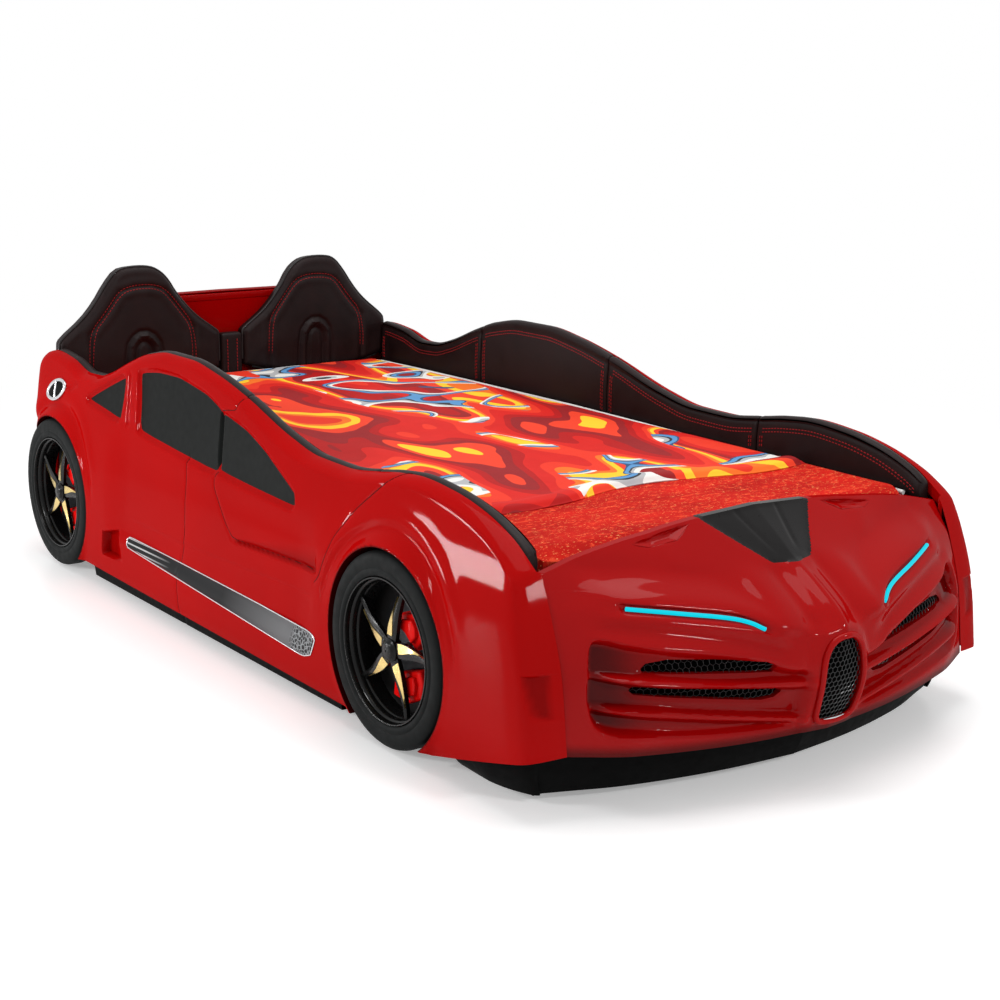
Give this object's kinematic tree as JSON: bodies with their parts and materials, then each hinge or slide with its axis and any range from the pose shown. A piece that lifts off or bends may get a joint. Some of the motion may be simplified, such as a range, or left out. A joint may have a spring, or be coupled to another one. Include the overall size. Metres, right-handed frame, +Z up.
{
  "type": "children's car bed",
  "caption": "Child's single bed shaped like a low sports car, with glossy plastic shells, padded rails and headboard, mattress, light strips and turning wheels.",
  "frame": {"origin": "on the floor under the middle of the bed's outline", "axes": "+Z up, the nose points to -Y and the headboard to +Y, X is the width with the bed's left side at +X"},
  "size_m": [1.1104, 2.2387, 0.703],
  "materials": {
    "chipboard": "bare laminated chipboard, satin",
    "birch": "lacquered bent birch, satin",
    "steel": "zinc plated, satin",
    "red_shell": "glossy vacuum-formed sheet",
    "black_plastic": "matt moulded",
    "window_tint": "dark satin panes",
    "tyre": "satin black",
    "rim_black": "gloss black with gold edges",
    "brake_metal": "dark brushed",
    "caliper_red": "gloss",
    "leatherette": "black grained, red stitching",
    "mattress_cover": "knitted cover with white piping",
    "spread_print": "printed cotton",
    "led_lens": "lit cyan-blue lens",
    "trim_silver": "silver and black film"
  },
  "bodies": {
    "bed": {"bracket_screws": "steel", "brake_calipers": "caliper_red", "brake_discs": "brake_metal", "centre_beam": "chipboard", "centre_grille": "black_plastic", "centre_legs": "chipboard", "corner_brackets": "steel", "door_shell_left": "red_shell", "door_shell_right": "red_shell", "fender_shell_left": "red_shell", "fender_shell_right": "red_shell", "foot_board": "chipboard", "fuel_caps": "trim_silver", "glides": "black_plastic", "grille_frame": "red_shell", "head_board": "red_shell", "head_pad_centre": "leatherette", "head_pad_left": "leatherette", "head_pad_right": "leatherette", "hood_insert": "window_tint", "hood_vents": "black_plastic", "led_driver": "black_plastic", "led_strip_left": "led_lens", "led_strip_right": "led_lens", "led_trays": "black_plastic", "nose_shell": "red_shell", "nose_skirt": "black_plastic", "power_inlet": "black_plastic", "side_board_left": "chipboard", "side_board_right": "chipboard", "side_grilles": "black_plastic", "side_pad_left_1": "leatherette", "side_pad_left_2": "leatherette", "side_pad_left_3": "leatherette", "side_pad_left_4": "leatherette", "side_pad_right_1": "leatherette", "side_pad_right_2": "leatherette", "side_pad_right_3": "leatherette", "side_pad_right_4": "leatherette", "sill_strips": "trim_silver", "slat_ledgers": "chipboard", "slats": "birch", "spoiler_panel": "red_shell", "stub_axles": "steel", "switch_body": "black_plastic", "tail_panel": "red_shell", "window_panes_left": "window_tint", "window_panes_right": "window_tint"},
    "wheel_front_left": {"tyre_front_left": "tyre", "rim_front_left": "rim_black"},
    "wheel_front_right": {"tyre_front_right": "tyre", "rim_front_right": "rim_black"},
    "wheel_rear_left": {"tyre_rear_left": "tyre", "rim_rear_left": "rim_black"},
    "wheel_rear_right": {"tyre_rear_right": "tyre", "rim_rear_right": "rim_black"},
    "bedding": {"mattress": "mattress_cover", "bedspread": "spread_print"},
    "rocker": {"switch_rocker": "black_plastic"}
  },
  "joints": [
    {"name": "front_left_spin", "type": "hinge", "parent": "bed", "child": "wheel_front_left", "pos_m": [0.5, -0.552, 0.182], "axis": [1, 0, 0], "continuous": true},
    {"name": "front_right_spin", "type": "hinge", "parent": "bed", "child": "wheel_front_right", "pos_m": [-0.5, -0.552, 0.182], "axis": [1, 0, 0], "continuous": true},
    {"name": "rear_left_spin", "type": "hinge", "parent": "bed", "child": "wheel_rear_left", "pos_m": [0.5, 0.921, 0.182], "axis": [1, 0, 0], "continuous": true},
    {"name": "rear_right_spin", "type": "hinge", "parent": "bed", "child": "wheel_rear_right", "pos_m": [-0.5, 0.921, 0.182], "axis": [1, 0, 0], "continuous": true},
    {"name": "bedding_lift", "type": "slide", "parent": "bed", "child": "bedding", "axis": [0, 0, 1], "range_m": [0, 0.5]},
    {"name": "rocker_tip", "type": "hinge", "parent": "bed", "child": "rocker", "pos_m": [0.12, 1.113, 0.17], "axis": [0, 0, 1], "range_deg": [-10, 0]}
  ]
}
